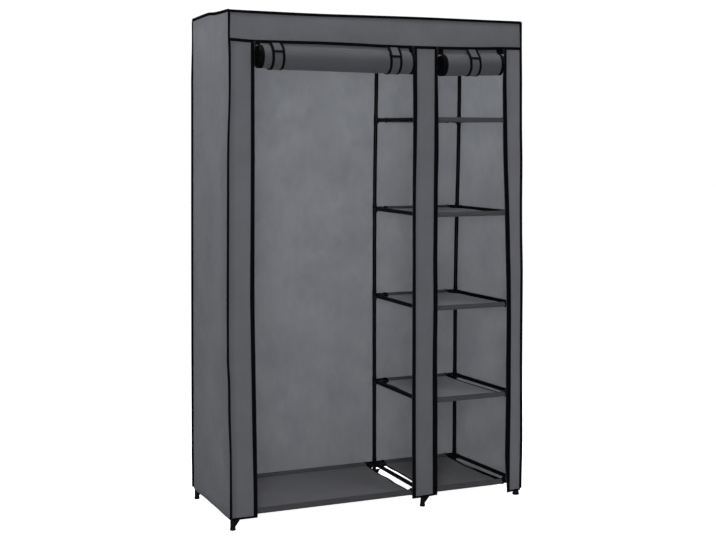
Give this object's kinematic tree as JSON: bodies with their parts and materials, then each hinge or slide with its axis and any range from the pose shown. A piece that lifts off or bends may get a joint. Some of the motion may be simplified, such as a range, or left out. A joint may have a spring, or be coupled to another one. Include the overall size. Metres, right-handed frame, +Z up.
{
  "type": "portable fabric wardrobe",
  "caption": "Free-standing wardrobe of steel tubes and plastic connectors in a zipped fabric cover, with a hanging rail, fabric shelves and roll-up doors held by ties.",
  "frame": {"origin": "on the floor under the middle of the bounding box, which takes in the rolled doors in front", "axes": "+Z up, +Y from the doors to the back panel, +X to the right as seen from the front, from the hanging side to the shelves"},
  "size_m": [1.118, 0.4818, 1.75],
  "materials": {
    "cover_fabric": "matte",
    "shelf_fabric": "matte",
    "tube_black": "satin",
    "foot_black": "satin",
    "zip_black": "satin"
  },
  "bodies": {
    "wardrobe": {"back_left_foot": "foot_black", "back_left_upright": "tube_black", "back_middle_foot": "foot_black", "back_middle_upright": "tube_black", "back_right_foot": "foot_black", "back_right_upright": "tube_black", "base_rail_left": "tube_black", "base_rail_middle": "tube_black", "base_rail_right": "tube_black", "base_shelf_left": "shelf_fabric", "base_shelf_right": "shelf_fabric", "cover_back": "cover_fabric", "cover_header": "cover_fabric", "cover_left_side": "cover_fabric", "cover_right_side": "cover_fabric", "cover_stile_left": "cover_fabric", "cover_stile_middle": "cover_fabric", "cover_stile_right": "cover_fabric", "cover_top": "cover_fabric", "front_left_foot": "foot_black", "front_left_upright": "tube_black", "front_middle_foot": "foot_black", "front_middle_upright": "tube_black", "front_right_foot": "foot_black", "front_right_upright": "tube_black", "hanging_rail": "tube_black", "shelf_1": "shelf_fabric", "shelf_1_rail_middle": "tube_black", "shelf_1_rail_right": "tube_black", "shelf_2": "shelf_fabric", "shelf_2_rail_middle": "tube_black", "shelf_2_rail_right": "tube_black", "shelf_3": "shelf_fabric", "shelf_3_rail_middle": "tube_black", "shelf_3_rail_right": "tube_black", "shelf_4": "shelf_fabric", "shelf_4_rail_middle": "tube_black", "shelf_4_rail_right": "tube_black", "tie_strap_left": "cover_fabric", "tie_strap_middle": "cover_fabric", "tie_strap_right": "cover_fabric", "top_rail_back": "tube_black", "top_rail_front": "tube_black", "top_rail_left": "tube_black", "top_rail_middle": "tube_black", "top_rail_right": "tube_black"},
    "main_door": {"main_door": "cover_fabric"},
    "side_door": {"side_door": "cover_fabric"},
    "zip_slider_main_left": {"zip_slider_main_left": "zip_black"},
    "zip_pull_main_left": {"zip_pull_main_left": "zip_black"},
    "zip_slider_main_right": {"zip_slider_main_right": "zip_black"},
    "zip_pull_main_right": {"zip_pull_main_right": "zip_black"},
    "zip_slider_side_left": {"zip_slider_side_left": "zip_black"},
    "zip_pull_side_left": {"zip_pull_side_left": "zip_black"},
    "zip_slider_side_right": {"zip_slider_side_right": "zip_black"},
    "zip_pull_side_right": {"zip_pull_side_right": "zip_black"},
    "tie_tab_left": {"tie_tab_left": "cover_fabric"},
    "tie_tab_middle": {"tie_tab_middle": "cover_fabric"},
    "tie_tab_right": {"tie_tab_right": "cover_fabric"}
  },
  "joints": [
    {"name": "main_door_unroll", "type": "slide", "parent": "wardrobe", "child": "main_door", "axis": [0, 0, -1], "range_m": [0, 1.5], "deforming": ["main_door"]},
    {"name": "side_door_unroll", "type": "slide", "parent": "wardrobe", "child": "side_door", "axis": [0, 0, -1], "range_m": [0, 1.5], "deforming": ["side_door"]},
    {"name": "zip_slider_main_left_slide", "type": "slide", "parent": "wardrobe", "child": "zip_slider_main_left", "axis": [0, 0, -1], "range_m": [0, 1.5]},
    {"name": "zip_pull_main_left_swing", "type": "hinge", "parent": "zip_slider_main_left", "child": "zip_pull_main_left", "pos_m": [-0.4695, -0.20363, 1.638], "axis": [-1, 0, 0], "range_deg": [0, 150]},
    {"name": "zip_slider_main_right_slide", "type": "slide", "parent": "wardrobe", "child": "zip_slider_main_right", "axis": [0, 0, -1], "range_m": [0, 1.5]},
    {"name": "zip_pull_main_right_swing", "type": "hinge", "parent": "zip_slider_main_right", "child": "zip_pull_main_right", "pos_m": [0.123, -0.20363, 1.638], "axis": [-1, 0, 0], "range_deg": [0, 150]},
    {"name": "zip_slider_side_left_slide", "type": "slide", "parent": "wardrobe", "child": "zip_slider_side_left", "axis": [0, 0, -1], "range_m": [0, 1.5]},
    {"name": "zip_pull_side_left_swing", "type": "hinge", "parent": "zip_slider_side_left", "child": "zip_pull_side_left", "pos_m": [0.213, -0.20363, 1.638], "axis": [-1, 0, 0], "range_deg": [0, 150]},
    {"name": "zip_slider_side_right_slide", "type": "slide", "parent": "wardrobe", "child": "zip_slider_side_right", "axis": [0.014, 0, -0.9999], "range_m": [0, 1.5]},
    {"name": "zip_pull_side_right_swing", "type": "hinge", "parent": "zip_slider_side_right", "child": "zip_pull_side_right", "pos_m": [0.489, -0.20363, 1.638], "axis": [-1, 0, 0], "range_deg": [0, 150]},
    {"name": "tie_tab_left_lift", "type": "hinge", "parent": "wardrobe", "child": "tie_tab_left", "pos_m": [-0.3984, -0.20013, 1.6465], "axis": [-1, 0, 0], "range_deg": [0, 95]},
    {"name": "tie_tab_middle_lift", "type": "hinge", "parent": "wardrobe", "child": "tie_tab_middle", "pos_m": [0.0357, -0.20013, 1.6465], "axis": [-1, 0, 0], "range_deg": [0, 95]},
    {"name": "tie_tab_right_lift", "type": "hinge", "parent": "wardrobe", "child": "tie_tab_right", "pos_m": [0.3512, -0.20013, 1.6465], "axis": [-1, 0, 0], "range_deg": [0, 95]}
  ]
}
